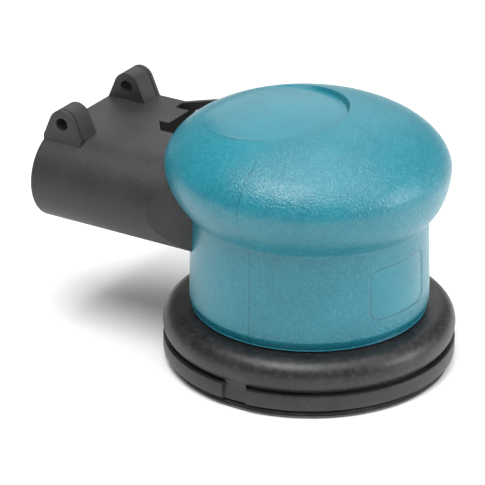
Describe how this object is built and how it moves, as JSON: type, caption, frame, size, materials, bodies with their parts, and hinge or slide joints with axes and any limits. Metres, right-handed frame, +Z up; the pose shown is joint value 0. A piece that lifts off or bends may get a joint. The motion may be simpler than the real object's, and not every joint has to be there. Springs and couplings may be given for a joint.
{
  "type": "orbital sander",
  "caption": "Palm-held air-driven random orbital sander with a domed grip, a round pad under a rubber shroud and a flat rear tube for inlet and exhaust.",
  "frame": {"origin": "on the motor axis, in the plane of the pad's working face", "axes": "+Z up along the motor axis, -X along the rear tube towards its end, +Y to the left seen from behind the tube"},
  "size_m": [0.1324, 0.0932, 0.085],
  "materials": {
    "grip_rubber": "fine leather-grained moulded skin, semi-matte",
    "housing_plastic": "moulded composite, fine spark-eroded grain",
    "shroud_rubber": "smooth moulded rubber, low sheen",
    "pad_foam": "closed-cell urethane foam with a skin",
    "pad_vinyl": "smooth vinyl sheet",
    "pad_nylon": "glass-filled nylon",
    "steel": "turned and ground",
    "spring_steel": "oiled spring steel",
    "bearing_steel": "ground and polished",
    "aluminium": "machined",
    "cylinder_steel": "honed",
    "vane_laminate": "cloth laminate, machined",
    "brass": "turned",
    "seal_rubber": "smooth",
    "muffler_felt": "pressed felt"
  },
  "bodies": {
    "casing": {"housing": "housing_plastic", "grip": "grip_rubber", "shroud": "shroud_rubber", "lock_ring": "aluminium", "cylinder": "cylinder_steel", "lower_end_plate": "aluminium", "upper_end_plate": "aluminium", "motor_dowel": "steel", "motor_cushion_ring": "seal_rubber", "lower_bearing_outer_race": "bearing_steel", "upper_bearing_outer_race": "bearing_steel", "lower_bearing_balls": "bearing_steel", "upper_bearing_balls": "bearing_steel", "inlet_bushing": "steel", "inlet_screen": "brass", "exhaust_grille": "housing_plastic", "exhaust_muffler": "muffler_felt", "valve_seat": "brass", "valve_guide": "brass", "stem_seal": "seal_rubber", "valve_spring": "spring_steel", "regulator_ring": "spring_steel"},
    "crank": {"crank_shaft": "steel", "rotor": "steel", "rotor_vanes": "vane_laminate", "rotor_key": "steel", "shaft_clip": "spring_steel", "lower_bearing_inner_race": "bearing_steel", "upper_bearing_inner_race": "bearing_steel", "spindle_bearing_outer_race": "bearing_steel", "spindle_bearing_balls": "bearing_steel", "bearing_retaining_ring": "spring_steel"},
    "pad": {"spindle": "steel", "spindle_clip": "spring_steel", "spindle_bearing_inner_race": "bearing_steel", "pad_stud": "steel", "pad_plate": "pad_nylon", "pad_rivets": "steel", "pad_foam": "pad_foam", "pad_facing": "pad_vinyl"},
    "throttle": {"valve_stem": "steel", "valve_disc": "seal_rubber"},
    "regulator": {"speed_regulator": "brass", "regulator_seal": "seal_rubber"}
  },
  "joints": [
    {"name": "motor_spin", "type": "hinge", "parent": "casing", "child": "crank", "pos_m": [0, 0, 0.04], "axis": [0, 0, 1], "continuous": true},
    {"name": "pad_spin", "type": "hinge", "parent": "crank", "child": "pad", "pos_m": [0.0008, -0.00089, 0.011], "axis": [0, 0, 1], "continuous": true},
    {"name": "throttle_press", "type": "slide", "parent": "casing", "child": "throttle", "axis": [0, 0, -1], "range_m": [0, 0.002], "stiffness_N_per_m": 1500, "springref_m": -0.002, "deforming": ["valve_spring"]},
    {"name": "regulator_turn", "type": "hinge", "parent": "casing", "child": "regulator", "pos_m": [-0.06, 0.014, 0.042], "axis": [0, 0, 1], "range_deg": [0, 90]}
  ]
}
